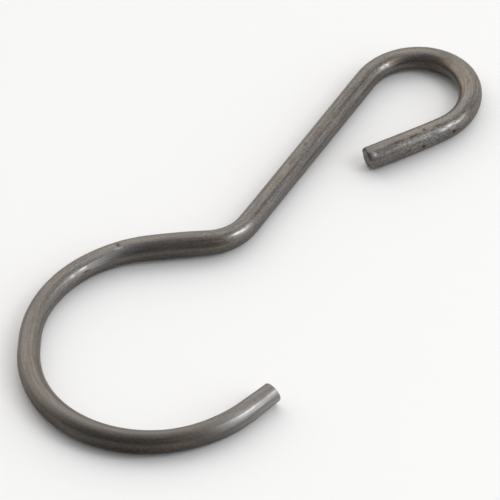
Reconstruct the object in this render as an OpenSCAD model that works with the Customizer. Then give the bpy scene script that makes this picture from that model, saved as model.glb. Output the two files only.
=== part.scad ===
// Tail hook for an electric fence: one round steel wire bent flat into a large bow and a small bow.
// It lies on the XY plane. The shank runs along +X, from the large bow to the small one, both bows
// open towards -Y, and the origin is on the axis of the large bow's main round.

/* [Wire] */
// Diameter of the round wire
wire_d = 5; // [3:0.5:8]
// Broken edge at both cut ends, measured along the wire and inwards
end_break = 0.3; // [0.1:0.05:0.8]

/* [Large bow] */
// Inside diameter of the large bow's main round
large_bow_d = 49; // [30:1:80]
// Angle that the wire turns through in the main round
large_bow_angle = 136; // [100:1:160]
// Straight end of the wire after the main round
large_lead = 6.5; // [2:0.5:15]
// Inside radius of the shoulder, the bend between the neck and the main round
shoulder_bend_r = 23; // [14:0.5:40]
// Angle of the shoulder
shoulder_angle = 85; // [70:1:95]
// Short flat between the shoulder and the main round
bow_flat = 3; // [1:0.5:12]

/* [Neck] */
// Inside radius of the reverse bend that brings the shank in line with the large bow's middle
neck_bend_r = 7.5; // [4:0.5:15]
// Angle of the reverse bend
neck_angle = 56; // [35:1:75]
// Straight run between the reverse bend and the large bow
neck_run = 13; // [4:0.5:20]

/* [Shank] */
// Straight length between the reverse bend and the small bow
shank_len = 49.5; // [30:0.5:120]

/* [Small bow] */
// Inside diameter of the small bow
small_bow_d = 19; // [14:0.5:40]
// Angle that the wire turns through round the small bow, past a half turn so that the tail closes in
small_bow_angle = 211.5; // [180:0.5:220]
// Straight tail after the small bow
small_tail = 17.5; // [8:0.5:22]

/* [Hidden] */
$fn = 96;

wire_r = wire_d / 2;
// Bend radii at the middle of the wire, which stays in line as the bends thin it
large_r = large_bow_d / 2 + wire_r;
shoulder_r = shoulder_bend_r + wire_r;
neck_r = neck_bend_r + wire_r;
small_r = small_bow_d / 2 + wire_r;

// Cold bending thins the wire by this share in a bend whose radius is the wire's diameter, less in easier ones
thinning_share = 0.05;
// How far each bend runs on inside the wire before and after it
overrun = 0.05;

// Direction of the wire where the main round starts, such that the shank comes out along +X
main_heading = 180 + shoulder_angle - neck_angle;

// A straight run of wire along +X, with what follows placed at its end
module straight(length) {
    rotate([0, 90, 0]) cylinder(d = wire_d, h = length);
    translate([length, 0, 0]) children();
}

// Diameter of the wire in a bend
function bent_d(radius) = wire_d * (1 - thinning_share * wire_d / radius);

// A bend that starts along +X and turns left for a positive angle, with what follows placed at its end
module bend(radius, angle) {
    side = sign(angle);
    lap_angle = side * overrun / radius * 180 / PI;
    translate([0, side * radius, 0]) {
        rotate(-90 * side) rotate_extrude(start = -lap_angle, angle = angle + 2 * lap_angle)
            translate([radius, 0]) circle(d = bent_d(radius));
        rotate(angle) translate([0, -side * radius, 0]) children();
    }
}

// A straight run that ends in a flat cut with its edge broken
module cut_end(length) {
    straight(length - end_break)
        rotate([0, 90, 0]) cylinder(d1 = wire_d, d2 = wire_d - 2 * end_break, h = end_break);
}

// The wire, from the start of the main round: on round to the lead, and back through the neck to the tail
module tail_hook() {
    color("dimgray") translate([0, 0, wire_r]) rotate(main_heading) translate([0, -large_r, 0]) {
        bend(large_r, large_bow_angle) cut_end(large_lead);
        rotate(180)
            straight(bow_flat)
            bend(shoulder_r, -shoulder_angle)
            straight(neck_run)
            bend(neck_r, neck_angle)
            straight(shank_len)
            bend(small_r, -small_bow_angle)
            cut_end(small_tail);
    }
}

tail_hook();
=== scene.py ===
"""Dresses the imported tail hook: a swept steel wire with its wear, a pale floor, light and a camera."""

import math

import bpy
import numpy as np
from mathutils import Matrix, Vector


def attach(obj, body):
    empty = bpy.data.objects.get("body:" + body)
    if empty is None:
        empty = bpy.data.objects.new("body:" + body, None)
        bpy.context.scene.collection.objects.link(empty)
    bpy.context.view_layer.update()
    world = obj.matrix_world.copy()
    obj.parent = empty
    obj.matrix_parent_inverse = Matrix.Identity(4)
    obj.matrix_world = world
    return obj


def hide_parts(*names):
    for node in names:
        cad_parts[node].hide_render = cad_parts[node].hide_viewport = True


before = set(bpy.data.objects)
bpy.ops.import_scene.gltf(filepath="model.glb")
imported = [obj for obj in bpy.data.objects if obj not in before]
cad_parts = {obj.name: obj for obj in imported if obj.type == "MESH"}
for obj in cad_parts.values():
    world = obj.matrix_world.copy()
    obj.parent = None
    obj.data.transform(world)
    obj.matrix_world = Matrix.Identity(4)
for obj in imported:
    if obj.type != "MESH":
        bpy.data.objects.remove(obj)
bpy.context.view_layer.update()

MM = 0.001
SEED = 11

# The wire's sizes in millimetres and degrees, from the lead's end to the tail's end
# The lead, small bow and tail differ a little from the part's source, as bending by hand leaves them
WIRE_R = 2.5
LARGE_LEAD = 6.7
LARGE_R = 27.0
LARGE_ANGLE = 136.0
BOW_FLAT = 3.0
SHOULDER_R = 25.5
SHOULDER_ANGLE = 85.0
NECK_RUN = 13.0
NECK_R = 10.0
NECK_ANGLE = 56.0
SHANK_LEN = 49.5
SMALL_R = 12.0
SMALL_ANGLE = 209.5
SMALL_TAIL = 18.35
# Radius of the slight curve that bending leaves in the tail
TAIL_CURVE_R = 165.0
# Place of the shank among the stretches of the wire, counted from 0
SHANK_STRETCH = 6
# Middle of the shank, where the sweep is anchored
SHANK_MIDDLE = (63.348, 1.841)

# How the sweep is cut up: rings along the wire, corners around it and steps along its path
RINGS = 900
AROUND = 96
PATH_STEP = 0.02
# Lengths of the two moving averages that let each bend start gradually
EASE_LENGTHS = (2.4, 1.2)

# The stock is thinner than its nominal size by a share of the radius
STOCK_SHARE = -0.035
# Where the wire is fuller or leaner than that: name, place along it, share of the radius, reach
UNEVEN = (
    ("lead tip", 0.0, -0.06, 6.0),
    ("lead start", 13.0, 0.02, 6.0),
    ("large bow below", 44.0, 0.07, 17.0),
    ("large bow above", 80.0, -0.03, 9.0),
    ("neck run", 117.0, 0.13, 13.0),
    ("small bow end", 211.0, 0.05, 8.0),
    ("tail", 238.0, 0.085, 12.0),
)
# Room under the wire for what stands proud of it
PROUD = 0.03

# Cut ends: the rings of each face and of its rounded edge
FACE_RINGS = 14
EDGE_RINGS = 6
END_RINGS = FACE_RINGS + EDGE_RINGS
LEAD_END = slice(0, END_RINGS)
TAIL_END = slice(-END_RINGS, None)
# How far the edge of each end is rounded
LEAD_ROUND = 0.14
TAIL_ROUND = 0.4
# How quickly the look of the cut takes over on the rounded edge
CUT_GAIN = 1.6
# How rough the cut of each end is
LEAD_ROUGH = 0.03
TAIL_ROUGH = 0.09
# Cells of that roughness: their length from the middle outwards, and how many lie around the face
FACE_CELL = 0.6
FACE_CELLS = 13
# Ridges of that roughness that run from the middle to the rim
FACE_RIDGES = 11
# The groove that the cutter left inside the tail's rim: place and width are shares of the radius
GROOVE_SHARE = 0.78
GROOVE_WIDTH_SHARE = 0.06
GROOVE_ANGLE = 60.0
GROOVE_REACH = 0.8
GROOVE_DEPTH = 0.12
# How far the cuts lean along the wire, the lead's outwards and the tail's back: angle, reach, depth
LEAD_LEAN = (-8.0, 2.0, 0.3)
TAIL_LEAN = (-40.0, 2.2, 0.4)
# Length of the wire's side that goes along with a leaning cut
LEAN_RUN = 4.0
# The part of the tail's edge that the cutter rolled over, with its length along the wire
ROLL_ANGLE = -45.0
ROLL_REACH = 2.2
ROLL_DEPTH = 0.3
ROLL_RUN = 1.8

# Tints that a mark can have: brown stain, dark dirt that is also painted shade, rubs whose light colour
# is also painted highlight, and scuffs
TINTS = ("brown", "soil_and_painted_shade", "shine_and_painted_highlight", "scuff")
# Marks: name, place along the wire, angle around it, reach along and around, tint, its share, depth
# An angle of 0 is to the left on the way from the lead to the tail, and 90 is up
# Many light marks also paint highlights and reflections, and some dark ones paint shade under the wire
# and dark reflection bands
MARKS = (
    # Painted highlight along the lead and painted reflection under it, where the lead is also rubbed
    # smoother
    ("painted highlight along the lead", 9.5, 52, 6.5, 1.1, "shine_and_painted_highlight", 0.57, 0.0),
    ("rub beyond the lead", 15.0, 64, 4.5, 0.7, "shine_and_painted_highlight", 0.26, 0.0),
    ("end of the lead rubbed", 0.5, 42, 4.5, 1.3, "shine_and_painted_highlight", 0.42, 0.0),
    ("painted reflection under the lead", 4.0, -2, 8.0, 0.9, "shine_and_painted_highlight", 0.6, 0.0),
    ("lead rubbed above", 3.0, 108, 5.0, 0.8, "shine_and_painted_highlight", 0.12, 0.0),
    ("edge of the rub on the lead", 5.0, 38, 4.5, 0.4, "shine_and_painted_highlight", 0.62, 0.0),
    ("side of the rub on the lead", 9.8, 64, 3.5, 0.42, "shine_and_painted_highlight", 0.62, 0.0),
    ("worn lead", 6.0, 48, 7.0, 2.0, "scuff", 0.22, 0.0),
    # Painted shade under the large bow, and darker patches on it
    ("painted shade under the large bow", 33.0, -2, 15.0, 1.35, "soil_and_painted_shade", 0.86, 0.0),
    ("painted shade further round", 52.0, 5, 9.0, 1.1, "soil_and_painted_shade", 0.7, 0.0),
    ("end of the painted shade", 66.0, 20, 9.0, 0.9, "soil_and_painted_shade", 0.35, 0.0),
    ("darker outside the large bow", 80.0, 45, 9.0, 0.6, "soil_and_painted_shade", 0.2, 0.0),
    ("darker on the large bow", 31.0, 55, 13.0, 1.2, "soil_and_painted_shade", 0.56, 0.0),
    ("large bow rubbed", 50.0, 66, 7.0, 1.3, "shine_and_painted_highlight", 0.09, 0.0),
    ("stain under the large bow", 23.7, 20, 4.0, 0.9, "brown", 0.3, 0.0),
    ("second stain under the large bow", 29.0, -3, 4.0, 0.9, "brown", 0.3, 0.0),
    ("bloom on the large bow", 62.0, 60, 16.0, 6.0, "brown", 0.18, 0.0),
    # Painted highlight along the shoulder, where it is also rubbed smoother
    ("painted highlight along the shoulder", 103.0, 128, 8.0, 1.2, "shine_and_painted_highlight", 0.49, 0.0),
    ("bloom on the shoulder", 108.0, 95, 7.0, 1.2, "brown", 0.12, 0.0),
    ("neck rubbed above", 114.0, 143, 6.0, 0.9, "shine_and_painted_highlight", 0.16, 0.0),
    # Painted highlight spots on the shoulder
    ("painted highlight spot on the shoulder", 96.3, 133, 1.4, 0.35, "shine_and_painted_highlight", 0.72, 0.006),
    ("second painted highlight spot on the shoulder", 93.0, 135, 0.8, 0.4, "shine_and_painted_highlight", 0.42, 0.003),
    ("scratch on the shoulder", 96.6, 153, 0.8, 0.22, "soil_and_painted_shade", 0.8, 0.02),
    ("rub by the nick", 105.4, 109, 1.2, 0.35, "shine_and_painted_highlight", 1.0, 0.0),
    ("nick on the shoulder", 105.5, 88, 0.35, 0.5, "soil_and_painted_shade", 1.0, 0.05),
    # Painted shade under the neck
    ("painted shade under the neck", 116.0, -165, 11.0, 1.5, "soil_and_painted_shade", 0.55, 0.0),
    ("darker on the neck", 118.5, 127, 6.0, 0.7, "soil_and_painted_shade", 0.24, 0.0),
    # Painted highlight on the neck, crossed by a scratch
    ("painted highlight on the neck", 132.0, 127, 2.4, 0.6, "shine_and_painted_highlight", 0.5, 0.0),
    ("scratch across the neck", 132.1, 122, 0.22, 0.35, "soil_and_painted_shade", 0.6, 0.0),
    ("rub past the scratch", 132.8, 127, 0.5, 0.3, "shine_and_painted_highlight", 0.5, 0.0),
    ("rub beside it", 129.8, 126, 1.5, 0.3, "shine_and_painted_highlight", 0.8, 0.0),
    # Painted dark reflection band along the middle of the shank
    ("painted dark reflection on the shank", 146.0, 119, 11.0, 0.24, "soil_and_painted_shade", 0.55, 0.0),
    ("painted dark reflection further up", 161.0, 116, 8.0, 0.3, "soil_and_painted_shade", 0.42, 0.0),
    ("painted dark reflection at the end of the shank", 177.0, 111, 9.0, 0.3, "soil_and_painted_shade", 0.45, 0.0),
    ("darker at the start of the shank", 143.0, 62, 9.0, 0.5, "soil_and_painted_shade", 0.25, 0.0),
    ("darker on the shank", 152.0, 124, 13.0, 0.8, "soil_and_painted_shade", 0.14, 0.0),
    ("bloom on the shank", 152.0, 85, 20.0, 1.8, "brown", 0.1, 0.0),
    ("darker further up the shank", 173.0, 104, 16.0, 1.5, "soil_and_painted_shade", 0.18, 0.0),
    # Under the shank, where it reflects the tail: painted light bands, with painted shade beside them
    ("painted light band under the shank", 165.0, 163, 28.0, 0.6, "shine_and_painted_highlight", 0.1, 0.0),
    ("bloom under the shank", 163.0, 160, 26.0, 0.7, "brown", 0.22, 0.0),
    ("second painted light band under the shank", 158.5, 154, 6.0, 0.35, "shine_and_painted_highlight", 0.24, 0.0),
    ("painted shade beside the light bands", 157.0, 142, 20.0, 0.5, "soil_and_painted_shade", 0.2, 0.0),
    ("dark fleck on the shank", 152.8, 91, 1.1, 0.3, "soil_and_painted_shade", 0.45, 0.0),
    ("second fleck on the shank", 158.8, 88, 0.8, 0.3, "soil_and_painted_shade", 0.5, 0.0),
    ("third fleck on the shank", 157.3, 106, 0.5, 0.35, "soil_and_painted_shade", 0.4, 0.0),
    ("fourth fleck on the shank", 155.5, 108, 0.5, 0.35, "soil_and_painted_shade", 0.4, 0.0),
    ("brown fleck on the shank", 149.3, 89, 0.6, 0.4, "brown", 0.38, 0.0),
    ("second brown fleck on the shank", 144.4, 103, 0.6, 0.45, "brown", 0.3, 0.0),
    ("third brown fleck on the shank", 141.6, 88, 0.7, 0.4, "brown", 0.3, 0.0),
    # Painted highlight spots at the start of the small bow
    ("painted highlight before the small bow", 187.8, 139, 0.8, 0.32, "shine_and_painted_highlight", 0.6, 0.0),
    ("painted highlight by the small bow", 189.3, 139, 0.6, 0.32, "shine_and_painted_highlight", 0.95, 0.0),
    ("start of the small bow rubbed", 188.8, 140, 1.6, 0.5, "shine_and_painted_highlight", 0.3, 0.0),
    ("rub below it", 188.5, 160, 3.0, 0.6, "shine_and_painted_highlight", 0.4, 0.0),
    ("bloom at the start of the small bow", 195.0, 85, 6.0, 1.5, "brown", 0.14, 0.0),
    ("inside of the small bow rubbed", 199.0, 117, 6.5, 0.75, "shine_and_painted_highlight", 0.42, 0.0),
    ("rub beside the stain", 207.0, 134, 4.0, 1.4, "shine_and_painted_highlight", 0.22, 0.0),
    # Painted shade under the small bow
    ("painted shade under the small bow", 200.0, 172, 6.0, 1.0, "soil_and_painted_shade", 0.5, 0.0),
    ("darker on top of the small bow", 204.5, 94, 4.0, 0.6, "soil_and_painted_shade", 0.28, 0.0),
    ("bloom on the small bow", 208.0, 110, 8.0, 4.0, "brown", 0.14, 0.0),
    ("stain inside the small bow", 205.5, 132, 5.0, 1.4, "brown", 0.8, 0.0),
    ("end of the stain", 214.5, 140, 3.5, 0.9, "brown", 0.7, 0.0),
    ("darker at the end of the small bow", 220.7, 53, 1.8, 0.7, "soil_and_painted_shade", 0.42, 0.0),
    ("end of the small bow rubbed", 216.5, 80, 3.0, 0.6, "shine_and_painted_highlight", 0.1, 0.0),
    ("scuffed start of the tail", 226.5, 42, 3.5, 1.2, "scuff", 1.0, 0.0),
    ("scuffed tail", 233.0, 25, 10.0, 2.8, "scuff", 1.0, 0.0),
    ("tail rubbed bright", 234.0, 40, 10.0, 4.0, "shine_and_painted_highlight", 0.12, 0.0),
    # The scrapes on the tail also carry painted highlight streaks
    ("first scrape on the tail", 223.6, 49, 1.6, 0.22, "shine_and_painted_highlight", 0.55, 0.02),
    ("second scrape on the tail", 225.0, 44, 1.3, 0.2, "shine_and_painted_highlight", 0.7, 0.02),
    ("third scrape on the tail", 227.0, 48, 1.0, 0.3, "shine_and_painted_highlight", 0.8, 0.03),
    ("fourth scrape on the tail", 228.7, 42, 0.9, 0.3, "shine_and_painted_highlight", 0.85, 0.02),
    ("smooth rub on the tail", 233.3, 42, 1.6, 0.65, "shine_and_painted_highlight", 0.32, 0.0),
    ("scrape near the end", 236.7, 46, 0.5, 0.3, "shine_and_painted_highlight", 0.5, 0.02),
    # Painted highlight on the burr at the rim
    ("painted highlight on the rim's burr", 244.9, 56, 0.4, 0.4, "shine_and_painted_highlight", 1.4, -0.06),
    # Painted shade under the tail's rounded rim
    ("painted shade under the tail's rim", 245.87, 230, 0.14, 3.2, "soil_and_painted_shade", 0.8, 0.0),
    ("end of the tail rubbed", 242.0, 85, 3.0, 1.2, "shine_and_painted_highlight", 0.1, 0.0),
    ("large pit in the tail", 226.6, 9, 0.35, 0.35, "soil_and_painted_shade", 1.3, 0.07),
    ("middle pit in the tail", 233.9, 0, 0.4, 0.4, "soil_and_painted_shade", 1.2, 0.06),
    ("small pit in the tail", 237.3, 11, 0.3, 0.25, "soil_and_painted_shade", 0.9, 0.04),
    ("drag line on the tail", 229.4, 71, 1.2, 0.2, "soil_and_painted_shade", 0.7, 0.03),
    ("spot under the drag line", 232.6, 78, 0.35, 0.35, "soil_and_painted_shade", 0.8, 0.04),
    ("drag line past the middle", 235.2, 70, 1.3, 0.22, "soil_and_painted_shade", 0.9, 0.04),
    ("drag line by the end", 239.2, 71, 1.8, 0.2, "soil_and_painted_shade", 0.75, 0.02),
    ("brown beside the drag line", 234.0, 88, 7.0, 0.8, "brown", 0.25, 0.0),
)

# Layers of the uneven surface: height, length of a cell along the wire, cells around it
WAVES = (0.01, 5.0, 6)
RIPPLES = (0.005, 1.8, 11)
DIE_LINES = (0.003, 45.0, 52)
SCUFFS = (0.02, 0.9, 17)
FINE_SCUFFS = (0.012, 0.55, 28)
# The straight shank has shallower waves and ripples than the bends
CALM_SHARE = 0.65
CALM_PLACE = 162.0
CALM_REACH = 24.0
# How strong the grain is: name, place along the wire, share
GRAIN = (
    ("lead", 10.0, 0.65),
    ("start of the large bow", 22.0, 0.5),
    ("large bow below", 42.0, 0.5),
    ("large bow above", 70.0, 0.65),
    ("shoulder", 104.0, 1.0),
    ("neck run", 117.0, 0.55),
    ("reverse bend", 129.0, 1.0),
)

# The surface map: the wire in rows, with its two cut faces in the strip above them
MAP_ROWS = 4
MAP_EDGE = 0.01
MAP_ROW_HEIGHT = 0.215
MAP_DISC_R = 0.045
MAP_LEAD_MIDDLE = 0.1
MAP_TAIL_MIDDLE = 0.3

# Textures of the steel: cells to the millimetre across, up and along the wire, detail, roughness, offset
TEXTURES = {
    "wide die lines": ((1.6, 1.6, 0.03), 3.0, 0.55, (0, 0, 0)),
    "fine die lines": ((5.0, 5.0, 0.12), 2.0, 0.5, (7, 3, 11)),
    "streaks": ((3.0, 3.0, 0.2), 2.0, 0.55, (2, 5, 13)),
    "grain": ((2.9, 2.9, 1.7), 2.0, 0.6, (1, 9, 5)),
    "mottle": ((0.9, 0.9, 0.55), 2.0, 0.5, (3, 8, 2)),
    "brown patches": ((0.3, 0.3, 0.1), 2.0, 0.5, (4, 2, 8)),
    "blue patches": ((0.34, 0.34, 0.13), 2.0, 0.5, (12, 6, 1)),
    "pits": ((2.0, 2.0, 1.7), 3.0, 0.65, (5, 1, 7)),
}
# How the colour reads them: texture, its values at the start and the end, what is read there
READINGS = {
    "die lines": ("wide die lines", 0.35, 0.65, 0.0, 1.0),
    "brown": ("brown patches", 0.5, 0.68, 0.0, 0.4),
    "blue": ("blue patches", 0.52, 0.68, 0.0, 0.5),
    "blotches": ("mottle", 0.36, 0.64, 0.0, 1.0),
    "streaks": ("streaks", 0.32, 0.68, 0.85, 1.15),
    "grain": ("grain", 0.28, 0.72, 0.73, 1.27),
    "scuffs": ("pits", 0.36, 0.64, 0.0, 1.0),
    "cuts": ("pits", 0.4, 0.58, 0.0, 1.0),
    "stains": ("mottle", 0.3, 0.62, 0.45, 1.1),
    "rubs_and_painted_highlights": ("fine die lines", 0.3, 0.65, 0.6, 1.2),
    "dirt_and_painted_shade": ("pits", 0.35, 0.62, 1.1, 0.75),
}
# Colours of the steel, and of what is on it
STEEL_DARK = (0.122, 0.113, 0.105)
STEEL_LIGHT = (0.155, 0.145, 0.135)
STEEL_BROWN = (0.16, 0.133, 0.104)
STEEL_BLUE = (0.123, 0.124, 0.126)
CUT_DARK = (0.055, 0.046, 0.037)
CUT_LIGHT = (0.19, 0.168, 0.145)
STAIN_BROWN = (0.3, 0.228, 0.158)
# A light colour on the rubs, which also paints highlights and reflections onto the steel
RUB_AND_PAINTED_HIGHLIGHT = (0.392, 0.389, 0.386)
# A dark colour for dirt and pits, also used as painted shade under the wire and painted dark reflection
# bands
DIRT_AND_PAINTED_SHADE = (0.03, 0.022, 0.017)
# Colours that multiply the steel's
BLOTCH_WARM = (1.03, 1.0, 0.96)
BLOTCH_COOL = (0.972, 1.0, 1.027)
SCUFF_DARK = (0.56, 0.55, 0.54)
SCUFF_LIGHT = (1.38, 1.38, 1.4)
# Roughness, read from the fine die lines and the grain together: start and end, and the roughness there
ROUGH_READING = (0.7, 1.3, 0.31, 0.43)
# What is added to the roughness where there is no grain, where the wire is worked, under dirt and
# painted shade, and on rubs and painted highlights
NO_GRAIN_ROUGHER = 0.13
WORKED_ROUGHER = 0.1
DIRT_ROUGHER = 0.25
RUBBED_ROUGHER = -0.24
# Shares of the textures in the bump, its strength and its depth in millimetres
BUMP_SHARES = (("wide die lines", 0.6), ("fine die lines", 0.3), ("grain", 0.2))
BUMP_STRENGTH = 0.6
BUMP_DEPTH = 0.02

# The floor: half its width in metres, and its grey
FLOOR_HALF = 4.0
FLOOR_GREY = 0.94

# Colours of the light
WARM = (1.02, 1.0, 0.98)
PLAIN = (1.0, 1.0, 1.0)
COOL = (0.98, 1.0, 1.03)
# Soft lights: name, angle around from +X, angle above the floor, where full, where ended, level, colour
SOFT_LIGHTS = (
    ("far wall", 6, 30, 10, 60, 1.15, WARM),
    ("far wall, high", 41, 48, 10, 40, 0.6, WARM),
    ("left window", 90, 30, 8, 36, 0.78, WARM),
    ("left window, low", 71, 12, 10, 40, 0.82, WARM),
    ("right wall, low", -44, 10, 8, 36, 0.66, PLAIN),
    ("right window, low", -76, 8, 8, 36, 1.2, COOL),
    ("right window", -94, 32, 8, 34, 0.86, COOL),
    ("high right", -69, 72, 8, 34, 0.48, PLAIN),
)
# Level of the light all around, to which they add
DIM_LEVEL = 0.2
# The key lamp: its direction in degrees, distance and size in metres, and power in watts
KEY_AROUND = -73
KEY_ABOVE = 44
KEY_DISTANCE = 1.2
KEY_SIZE = 0.46
KEY_POWER = 2.1

# The camera, fitted to the photograph's outline: degrees, millimetres and pixels
CAMERA_ELEVATION = 45.126
CAMERA_AZIMUTH = -54.149
CAMERA_ROLL = -6.528
CAMERA_TARGET = (32.48, -2.443, 2.5)
CAMERA_DISTANCE = 1200.0
FOCAL_PIXELS = 5719.9
PICTURE_PIXELS = 500
SENSOR_WIDTH = 36.0


def ease(share):
    """A smooth step from 0 to 1."""
    return share * share * (3 - 2 * share)


def fade(distance, reach):
    """Fades from 1 at no distance to 0 well beyond the reach."""
    return np.exp(-(distance / reach) ** 2)


def smooth(values, window):
    """A moving average that keeps the ends."""
    size = max(1, int(round(window / PATH_STEP)))
    padded = np.concatenate([np.full(size, values[0]), values, np.full(size, values[-1])])
    total = np.concatenate([[0.0], np.cumsum(padded)])
    mean = (total[size:] - total[:-size]) / size
    start = size - size // 2
    return mean[start:start + len(values)]


def stretches():
    """Length and curvature of each stretch, from the lead's end on. A left turn is positive."""
    turn = math.radians
    return (
        (LARGE_LEAD, 0.0),
        (LARGE_R * turn(LARGE_ANGLE), -1 / LARGE_R),
        (BOW_FLAT, 0.0),
        (SHOULDER_R * turn(SHOULDER_ANGLE), -1 / SHOULDER_R),
        (NECK_RUN, 0.0),
        (NECK_R * turn(NECK_ANGLE), 1 / NECK_R),
        (SHANK_LEN, 0.0),
        (SMALL_R * turn(SMALL_ANGLE), -1 / SMALL_R),
        (SMALL_TAIL, -1 / TAIL_CURVE_R),
    )


def wire_path():
    """Arclength, centre points in the plane and headings along the wire, with eased bends."""
    parts = stretches()
    length = sum(part[0] for part in parts)
    s = np.arange(0.0, length, PATH_STEP)
    ends = np.cumsum([part[0] for part in parts])
    which = np.minimum(np.searchsorted(ends, s, side="right"), len(parts) - 1)
    curvature = np.array([part[1] for part in parts])[which]
    for window in EASE_LENGTHS:
        curvature = smooth(curvature, window)
    heading = np.concatenate([[0.0], np.cumsum(curvature[:-1]) * PATH_STEP])
    middle = int((ends[SHANK_STRETCH - 1] + SHANK_LEN / 2) / PATH_STEP)
    heading -= heading[middle]
    step = np.stack([np.cos(heading), np.sin(heading)], 1) * PATH_STEP
    points = np.concatenate([np.zeros((1, 2)), np.cumsum(step[:-1], axis=0)])
    points += np.array(SHANK_MIDDLE) - points[middle]
    return s, points, heading


def wire_radius(along):
    """Radius of the wire at each place along it."""
    share = np.full(len(along), 1.0 + STOCK_SHARE)
    for _, place, change, reach in UNEVEN:
        share += change * fade(along - place, reach)
    return WIRE_R * share


def grain_share(along):
    """How strong the grain is at each place along the wire."""
    places = [place for _, place, _ in GRAIN]
    shares = [share for _, _, share in GRAIN]
    return np.interp(along, places, shares)


def end_rings(rounding):
    """Distance from the end and share of the radius for the rings of a cut face and its rounded edge."""
    inset = rounding / WIRE_R
    face = np.linspace(0.0, 1.0 - inset, FACE_RINGS + 1)[1:]
    corner = np.radians(np.linspace(0.0, 90.0, EDGE_RINGS + 1)[1:])
    distance = np.concatenate([np.zeros(FACE_RINGS), rounding * (1 - np.cos(corner))])
    share = np.concatenate([face, 1 - inset + inset * np.sin(corner)])
    return distance, share


def all_rings(length):
    """Place along the wire and share of the radius for each ring, from one cut face to the other."""
    lead_s, lead_share = end_rings(LEAD_ROUND)
    tail_s, tail_share = end_rings(TAIL_ROUND)
    body_s = np.linspace(LEAD_ROUND, length - TAIL_ROUND, RINGS)[1:-1]
    ring_s = np.concatenate([lead_s, body_s, length - tail_s[::-1]])
    ring_share = np.concatenate([lead_share, np.ones(len(body_s)), tail_share[::-1]])
    return ring_s, ring_share


def lattice(along, angle, length, count, rng):
    """Smooth random heights from -1 to 1, in cells of a length along the wire and a count around it."""
    table = rng.uniform(-1.0, 1.0, (int(along.max() / length) + 2, count))
    u = along / length
    v = angle / (2 * math.pi) * count
    i = np.floor(u).astype(int)
    j = np.floor(v).astype(int)
    fu = ease(u - i)[:, None]
    fv = ease(v - j)[None, :]
    i = i[:, None]
    j, k = (j % count)[None, :], ((j + 1) % count)[None, :]
    low = table[i, j] * (1 - fv) + table[i, k] * fv
    high = table[i + 1, j] * (1 - fv) + table[i + 1, k] * fv
    return low * (1 - fu) + high * fu


def fade_around(angle, around, reach):
    """Fades from an angle in degrees, over a reach that is a length around the wire."""
    turn = (angle - math.radians(around) + math.pi) % (2 * math.pi) - math.pi
    return fade(WIRE_R * turn, reach)


def wear(along, angle):
    """Shares of each tint and depth of the marks, for each ring and each angle."""
    tints = {name: np.zeros((len(along), len(angle))) for name in TINTS}
    depth = np.zeros((len(along), len(angle)))
    for _, place, around, reach_along, reach_around, tint, share, deep in MARKS:
        strength = fade(along - place, reach_along)[:, None] * fade_around(angle, around, reach_around)
        tints[tint] = np.maximum(tints[tint], share * strength)
        depth += deep * strength
    return tints, depth


def relief(along, angle, scuff, depth, rng):
    """How far the surface stands out from the even wire."""
    calm = 1 - CALM_SHARE * fade(along - CALM_PLACE, CALM_REACH)[:, None]
    layers = ((WAVES, calm), (RIPPLES, calm), (DIE_LINES, 1.0), (SCUFFS, scuff), (FINE_SCUFFS, scuff))
    total = np.zeros_like(depth)
    for (height, cell, count), share in layers:
        total += height * share * lattice(along, angle, cell, count, rng)
    return total - depth


def cut_faces(ring_share, angle, rng):
    """How far the rough cuts stand out, how much each ring is cut, and the groove in the tail's cut."""
    cut = np.zeros(len(ring_share))
    rough = np.zeros(len(ring_share))
    ends = ((LEAD_END, LEAD_ROUGH, LEAD_ROUND), (TAIL_END, TAIL_ROUGH, TAIL_ROUND))
    for end, roughness, rounding in ends:
        cut[end] = np.clip(CUT_GAIN * (1 - ring_share[end]) * WIRE_R / rounding, 0, 1)
        rough[end] = roughness * ring_share[end] ** 2
    cells = lattice(ring_share * WIRE_R, angle, FACE_CELL, FACE_CELLS, rng)
    ridges = lattice(np.zeros(len(ring_share)), angle, FACE_CELL, FACE_RIDGES, rng)
    groove = np.zeros(len(ring_share))
    groove[TAIL_END] = fade(ring_share[TAIL_END] - GROOVE_SHARE, GROOVE_WIDTH_SHARE)
    groove = groove[:, None] * fade_around(angle, GROOVE_ANGLE, GROOVE_REACH)
    return (cells + ridges) * rough[:, None] - GROOVE_DEPTH * groove, cut, groove


def leaning_cuts(ring_s, ring_share, angle, length):
    """How far the leaning cuts move the wire along its run."""
    shift = np.zeros((len(ring_s), len(angle)))
    for to_end, (around, reach, depth) in ((ring_s, LEAD_LEAN), (length - ring_s, TAIL_LEAN)):
        follow = np.clip(1 - to_end / LEAN_RUN, 0, 1)
        lean = depth * ring_share ** 3 * ease(follow)
        shift -= lean[:, None] * fade_around(angle, around, reach)
    return shift


def rolled_edge(ring_s, angle, length):
    """How far the tail's edge is rolled in."""
    rolled = np.clip(1 - (length - ring_s) / ROLL_RUN, 0, 1) ** 2
    return ROLL_DEPTH * rolled[:, None] * fade_around(angle, ROLL_ANGLE, ROLL_REACH)


def quad_corners(ring, following):
    """Corners of the quads between two rings, each given with its first point again at its end."""
    return np.stack([ring[:-1], ring[1:], following[1:], following[:-1]], 1)


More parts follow.
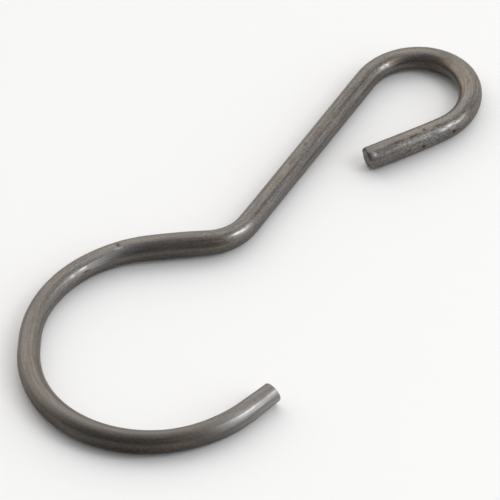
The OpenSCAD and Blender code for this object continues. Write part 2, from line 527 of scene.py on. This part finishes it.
def export_map(rings):
    """Places on the surface map for the corners of each quad, then of each end triangle."""
    first, last = END_RINGS, rings - END_RINGS
    turn = np.arange(AROUND + 1)
    quads = np.empty((rings - 1, AROUND, 4, 2))
    row_rings = math.ceil((last - first + 1) / MAP_ROWS)
    for k in range(first - 1, last):
        row, column = divmod(k - first + 1, row_rings)
        u = MAP_EDGE + (1 - 2 * MAP_EDGE) * np.array([column, column + 1]) / row_rings
        v = MAP_EDGE + row * MAP_ROW_HEIGHT + (MAP_ROW_HEIGHT - MAP_EDGE) * turn / AROUND
        quads[k] = quad_corners(*(np.stack([np.full(len(v), side), v], 1) for side in u))
    around = np.stack([np.cos(2 * math.pi * turn / AROUND), np.sin(2 * math.pi * turn / AROUND)], 1)
    # Ring radii grow evenly outwards, so that the rounded edge has its own room
    outwards = MAP_DISC_R * np.arange(1, END_RINGS + 1) / END_RINGS
    triangles = []
    discs = ((0, MAP_LEAD_MIDDLE, outwards), (last, MAP_TAIL_MIDDLE, outwards[::-1]))
    for start, middle, sizes in discs:
        centre = np.array([middle, 1 - MAP_DISC_R - MAP_EDGE])
        for k in range(END_RINGS - 1):
            quads[start + k] = quad_corners(centre + sizes[k] * around, centre + sizes[k + 1] * around)
        inner = centre + outwards[0] * around
        fan = [inner[1:], inner[:-1]] if start == 0 else [inner[:-1], inner[1:]]
        triangles.append(np.stack([*fan, np.broadcast_to(centre, (AROUND, 2))], 1))
    return np.concatenate([part.reshape(-1, 2) for part in (quads, *triangles)])


def wire_faces(rings):
    """Vertices of each quad along the wire, then of each triangle that closes an end."""
    grid = np.arange(rings * AROUND).reshape(rings, AROUND)
    beside = np.roll(grid, -1, axis=1)
    quads = np.stack([grid[:-1], beside[:-1], beside[1:], grid[1:]], -1).reshape(-1, 4)
    lead_middle = np.full(AROUND, rings * AROUND)
    lead = np.stack([beside[0], grid[0], lead_middle], 1)
    tail = np.stack([grid[-1], beside[-1], lead_middle + 1], 1)
    return quads.tolist() + lead.tolist() + tail.tolist()


def with_middles(values, lead_middle, tail_middle):
    """The values of all rings as rows, followed by those of the middles of the two cut faces."""
    return np.concatenate([values.reshape(-1, 3), [lead_middle, tail_middle]])


def keep_values(mesh, name, values):
    """Keeps three values on each vertex, where the material can read them."""
    attribute = mesh.attributes.new(name, "FLOAT_VECTOR", "POINT")
    attribute.data.foreach_set("vector", values.astype(np.float32).ravel())


def build_wire():
    """The swept wire as one closed mesh, with its places, tints and states kept on each vertex."""
    path_s, path_points, path_heading = wire_path()
    length = path_s[-1]
    ring_s, ring_share = all_rings(length)
    angle = np.linspace(0, 2 * math.pi, AROUND, endpoint=False)

    rng = np.random.default_rng(SEED)
    tints, depth = wear(ring_s, angle)
    uneven = relief(ring_s, angle, tints["scuff"], depth, rng)
    uneven -= rolled_edge(ring_s, angle, length)
    push, cut, groove = cut_faces(ring_share, angle, rng)
    push += leaning_cuts(ring_s, ring_share, angle, length)
    tints["soil_and_painted_shade"] = np.maximum(tints["soil_and_painted_shade"], groove)

    x = np.interp(ring_s, path_s, path_points[:, 0])[:, None]
    y = np.interp(ring_s, path_s, path_points[:, 1])[:, None]
    heading = np.interp(ring_s, path_s, path_heading)[:, None]
    radius = wire_radius(ring_s)[:, None]
    lift = np.maximum(radius + PROUD, WIRE_R)
    across = ring_share[:, None] * (radius + uneven) * np.cos(angle)
    above = ring_share[:, None] * (radius + uneven) * np.sin(angle)
    points = np.empty((*across.shape, 3))
    points[..., 0] = x - np.sin(heading) * across + np.cos(heading) * push
    points[..., 1] = y + np.cos(heading) * across + np.sin(heading) * push
    points[..., 2] = lift + above
    centres = np.concatenate([x, y, lift], 1)

    rings = len(ring_s)
    mesh = bpy.data.meshes.new("steel_wire_hook")
    vertices = with_middles(points, centres[0], centres[-1])
    mesh.from_pydata((vertices * MM).tolist(), [], wire_faces(rings))
    along = np.broadcast_to(ring_s[:, None], across.shape)
    places = np.stack([across, above, along], -1)
    keep_values(mesh, "wire_place", with_middles(places, (0, 0, 0), (0, 0, length)))
    tinted = np.stack([tints["brown"], tints["soil_and_painted_shade"], tints["shine_and_painted_highlight"]], -1)
    keep_values(mesh, "wire_tints", with_middles(tinted, (0, 0, 0), (0, 0, 0)))
    is_cut = np.broadcast_to(cut[:, None], across.shape)
    grainy = np.broadcast_to(grain_share(ring_s)[:, None], across.shape)
    states = np.stack([tints["scuff"], is_cut, grainy], -1)
    keep_values(mesh, "wire_states", with_middles(states, (0, 1, 0), (0, 1, 0)))
    map_places = export_map(rings)
    mesh.uv_layers.new(name="OFBake").data.foreach_set("uv", map_places.astype(np.float32).ravel())
    mesh.polygons.foreach_set("use_smooth", np.ones(len(mesh.polygons), bool))
    mesh.update()
    return bpy.data.objects.new("steel_wire_hook", mesh)


class Nodes:
    """Short names for making and joining the nodes of one material or world."""

    # Sockets of a node that mixes colours
    MIX_FACTOR = 0
    MIX_FIRST = 6
    MIX_SECOND = 7
    MIX_RESULT = 2

    def __init__(self, tree):
        self.tree = tree
        tree.nodes.clear()

    def add(self, kind, **settings):
        """A new node with its settings."""
        node = self.tree.nodes.new(kind)
        for name, value in settings.items():
            setattr(node, name, value)
        return node

    def join(self, output, target):
        """A link from an output to an input."""
        self.tree.links.new(output, target)

    def fill(self, target, value):
        """Gives an input a number or a colour, or joins an output to it."""
        if isinstance(value, (int, float)):
            target.default_value = value
        elif isinstance(value, tuple):
            target.default_value = (*value, 1.0)
        else:
            self.join(value, target)

    def kept(self, name):
        """The three values that each vertex keeps under a name."""
        return self.add("ShaderNodeAttribute", attribute_name=name).outputs["Vector"]

    def split(self, vector):
        """The three values of a vector, one by one."""
        node = self.add("ShaderNodeSeparateXYZ")
        self.join(vector, node.inputs["Vector"])
        return node.outputs

    def noise(self, vector, scale, detail, rough, offset):
        """Noise over the wire's own places, with so many cells to the millimetre each way."""
        mapping = self.add("ShaderNodeMapping")
        mapping.inputs["Scale"].default_value = scale
        mapping.inputs["Location"].default_value = offset
        self.join(vector, mapping.inputs["Vector"])
        node = self.add("ShaderNodeTexNoise")
        node.inputs["Scale"].default_value = 1.0
        node.inputs["Detail"].default_value = detail
        node.inputs["Roughness"].default_value = rough
        self.join(mapping.outputs["Vector"], node.inputs["Vector"])
        return node.outputs["Fac"]

    def span(self, value, low, high, to_low=0.0, to_high=1.0):
        """Goes smoothly from one level to another while a value goes from low to high."""
        node = self.add("ShaderNodeMapRange", interpolation_type="SMOOTHSTEP")
        self.join(value, node.inputs["Value"])
        node.inputs["From Min"].default_value = low
        node.inputs["From Max"].default_value = high
        node.inputs["To Min"].default_value = to_low
        node.inputs["To Max"].default_value = to_high
        return node.outputs["Result"]

    def combine(self, first, second, operation="ADD"):
        """Two numbers added, or taken together in another way."""
        node = self.add("ShaderNodeMath", operation=operation)
        self.fill(node.inputs[0], first)
        self.fill(node.inputs[1], second)
        return node.outputs["Value"]

    def mix(self, factor, first, second, blend="MIX"):
        """Two colours mixed, or blended in another way."""
        node = self.add("ShaderNodeMix", data_type="RGBA", blend_type=blend)
        self.fill(node.inputs[self.MIX_FACTOR], factor)
        self.fill(node.inputs[self.MIX_FIRST], first)
        self.fill(node.inputs[self.MIX_SECOND], second)
        return node.outputs[self.MIX_RESULT]


def steel_colour(n, noise, states):
    """Colour of the steel from the bare wire to the dirt and painted shade on it, with the shares of rub
    and painted highlight and of dirt and painted shade.
    """
    read = {name: n.span(noise[texture], *ends) for name, (texture, *ends) in READINGS.items()}
    colour = n.mix(read["die lines"], STEEL_DARK, STEEL_LIGHT)
    colour = n.mix(read["brown"], colour, STEEL_BROWN)
    colour = n.mix(read["blue"], colour, STEEL_BLUE)
    colour = n.mix(1.0, colour, n.mix(read["blotches"], BLOTCH_WARM, BLOTCH_COOL), "MULTIPLY")
    grainy = n.mix(1.0, colour, read["streaks"], "MULTIPLY")
    grainy = n.mix(1.0, grainy, read["grain"], "MULTIPLY")
    colour = n.mix(states["grain"], colour, grainy)
    scuffed = n.mix(1.0, colour, n.mix(read["scuffs"], SCUFF_DARK, SCUFF_LIGHT), "MULTIPLY")
    colour = n.mix(states["scuff"], colour, scuffed)
    stain = n.combine(states["brown"], read["stains"], "MULTIPLY")
    colour = n.mix(stain, colour, STAIN_BROWN)
    colour = n.mix(states["cut"], colour, n.mix(read["cuts"], CUT_DARK, CUT_LIGHT))
    # Rubs lighten the colour: painted highlights and reflections
    rub_and_painted_highlight = n.combine(states["shine_and_painted_highlight"], read["rubs_and_painted_highlights"], "MULTIPLY")
    colour = n.mix(rub_and_painted_highlight, colour, RUB_AND_PAINTED_HIGHLIGHT)
    # The dark tint darkens dirt, and is also painted shade under the wire and painted dark reflection
    # bands
    dirt_and_painted_shade = n.combine(states["soil_and_painted_shade"], read["dirt_and_painted_shade"], "MULTIPLY")
    return n.mix(dirt_and_painted_shade, colour, DIRT_AND_PAINTED_SHADE), rub_and_painted_highlight, dirt_and_painted_shade


def steel_roughness(n, noise, grain, worked, dirt_and_painted_shade, rub_and_painted_highlight):
    """Roughness of the steel, with what its grain and its wear add to it."""
    rough = n.span(n.combine(noise["fine die lines"], noise["grain"]), *ROUGH_READING)
    more = (
        (n.combine(1.0, grain, "SUBTRACT"), NO_GRAIN_ROUGHER),
        (worked, WORKED_ROUGHER),
        (dirt_and_painted_shade, DIRT_ROUGHER),
        (rub_and_painted_highlight, RUBBED_ROUGHER),
    )
    for share, amount in more:
        rough = n.combine(rough, n.combine(share, amount, "MULTIPLY"))
    return rough


def steel_bump(n, noise, worked):
    """Fine relief of the die lines and the grain, and of the pits where the wire is worked."""
    height = 0.0
    for texture, share in BUMP_SHARES:
        height = n.combine(height, n.combine(noise[texture], share, "MULTIPLY"))
    height = n.combine(height, n.combine(worked, noise["pits"], "MULTIPLY"))
    bump = n.add("ShaderNodeBump")
    bump.inputs["Strength"].default_value = BUMP_STRENGTH
    bump.inputs["Distance"].default_value = BUMP_DEPTH * MM
    n.join(height, bump.inputs["Height"])
    return bump.outputs["Normal"]


def steel_material():
    """Plain drawn steel: die lines, fine grain, brown and blue tints, the marks of wear, painted
    highlights and painted shade.
    """
    material = bpy.data.materials.new("drawn_steel")
    material.use_nodes = True
    n = Nodes(material.node_tree)
    place = n.kept("wire_place")
    noise = {name: n.noise(place, *settings) for name, settings in TEXTURES.items()}
    states = dict(zip(("brown", "soil_and_painted_shade", "shine_and_painted_highlight"), n.split(n.kept("wire_tints"))))
    states.update(zip(("scuff", "cut", "grain"), n.split(n.kept("wire_states"))))
    worked = n.combine(states["scuff"], states["cut"], "MAXIMUM")
    colour, rub_and_painted_highlight, dirt_and_painted_shade = steel_colour(n, noise, states)
    rough = steel_roughness(n, noise, states["grain"], worked, dirt_and_painted_shade, rub_and_painted_highlight)

    shader = n.add("ShaderNodeBsdfPrincipled")
    shader.inputs["Metallic"].default_value = 1.0
    n.join(colour, shader.inputs["Base Color"])
    n.join(rough, shader.inputs["Roughness"])
    n.join(steel_bump(n, noise, worked), shader.inputs["Normal"])
    output = n.add("ShaderNodeOutputMaterial")
    n.join(shader.outputs["BSDF"], output.inputs["Surface"])
    return material


def floor_material():
    """Plain pale matt floor."""
    material = bpy.data.materials.new("pale_floor")
    material.use_nodes = True
    n = Nodes(material.node_tree)
    shader = n.add("ShaderNodeBsdfDiffuse")
    n.fill(shader.inputs["Color"], (FLOOR_GREY, FLOOR_GREY, FLOOR_GREY))
    output = n.add("ShaderNodeOutputMaterial")
    n.join(shader.outputs["BSDF"], output.inputs["Surface"])
    return material


def add_floor():
    """The floor that the hook lies on."""
    corners = ((-1, -1), (1, -1), (1, 1), (-1, 1))
    mesh = bpy.data.meshes.new("floor")
    mesh.from_pydata([(FLOOR_HALF * x, FLOOR_HALF * y, 0) for x, y in corners], [], [(0, 1, 2, 3)])
    mesh.materials.append(floor_material())
    floor = bpy.data.objects.new("floor", mesh)
    bpy.context.scene.collection.objects.link(floor)


def towards(around, above):
    """Direction at an angle around from +X and an angle above the floor."""
    a, b = math.radians(around), math.radians(above)
    return Vector((math.cos(b) * math.cos(a), math.cos(b) * math.sin(a), math.sin(b)))


def add_soft_light():
    """A dim room with broad soft lights around."""
    world = bpy.data.worlds.new("studio")
    bpy.context.scene.world = world
    world.use_nodes = True
    n = Nodes(world.node_tree)
    direction = n.add("ShaderNodeTexCoord").outputs["Generated"]
    light = (DIM_LEVEL, DIM_LEVEL, DIM_LEVEL)
    for _, around, above, full, end, level, colour in SOFT_LIGHTS:
        dot = n.add("ShaderNodeVectorMath", operation="DOT_PRODUCT")
        n.join(direction, dot.inputs[0])
        dot.inputs[1].default_value = towards(around, above)
        share = n.span(dot.outputs["Value"], math.cos(math.radians(end)), math.cos(math.radians(full)))
        tinted = n.mix(1.0, share, tuple(level * c for c in colour), "MULTIPLY")
        light = n.mix(1.0, tinted, light, "ADD")
    background = n.add("ShaderNodeBackground")
    n.join(light, background.inputs["Color"])
    output = n.add("ShaderNodeOutputWorld")
    n.join(background.outputs["Background"], output.inputs["Surface"])


def add_key_light():
    """A soft round lamp that shines on the middle of the shank."""
    lamp = bpy.data.lights.new("key", "AREA")
    lamp.shape = "DISK"
    lamp.size = KEY_SIZE
    lamp.energy = KEY_POWER
    key = bpy.data.objects.new("key", lamp)
    back = towards(KEY_AROUND, KEY_ABOVE)
    key.location = Vector((*SHANK_MIDDLE, 0)) * MM + back * KEY_DISTANCE
    key.rotation_euler = back.to_track_quat("Z", "Y").to_euler()
    bpy.context.scene.collection.objects.link(key)


def add_camera():
    """The camera at the photograph's viewing angle."""
    elevation = math.radians(CAMERA_ELEVATION)
    azimuth = math.radians(CAMERA_AZIMUTH)
    roll = math.radians(CAMERA_ROLL)
    right = Vector((math.cos(azimuth), math.sin(azimuth), 0))
    level = Vector((math.sin(azimuth), -math.cos(azimuth), 0))
    back = math.cos(elevation) * level + math.sin(elevation) * Vector((0, 0, 1))
    up = back.cross(right)
    side = math.cos(roll) * right + math.sin(roll) * up
    top = -math.sin(roll) * right + math.cos(roll) * up
    place = (Vector(CAMERA_TARGET) + CAMERA_DISTANCE * back) * MM
    data = bpy.data.cameras.new("camera")
    data.sensor_width = SENSOR_WIDTH
    data.lens = FOCAL_PIXELS * SENSOR_WIDTH / PICTURE_PIXELS
    camera = bpy.data.objects.new("camera", data)
    camera.matrix_world = Matrix.Translation(place) @ Matrix((side, top, back)).transposed().to_4x4()
    bpy.context.scene.collection.objects.link(camera)
    bpy.context.scene.camera = camera


bpy.context.scene.view_settings.view_transform = "Standard"
add_camera()
add_floor()
add_soft_light()
add_key_light()

hook = build_wire()
hook.data.materials.append(steel_material())
bpy.context.scene.collection.objects.link(hook)
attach(hook, "root")
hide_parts("tail_hook")
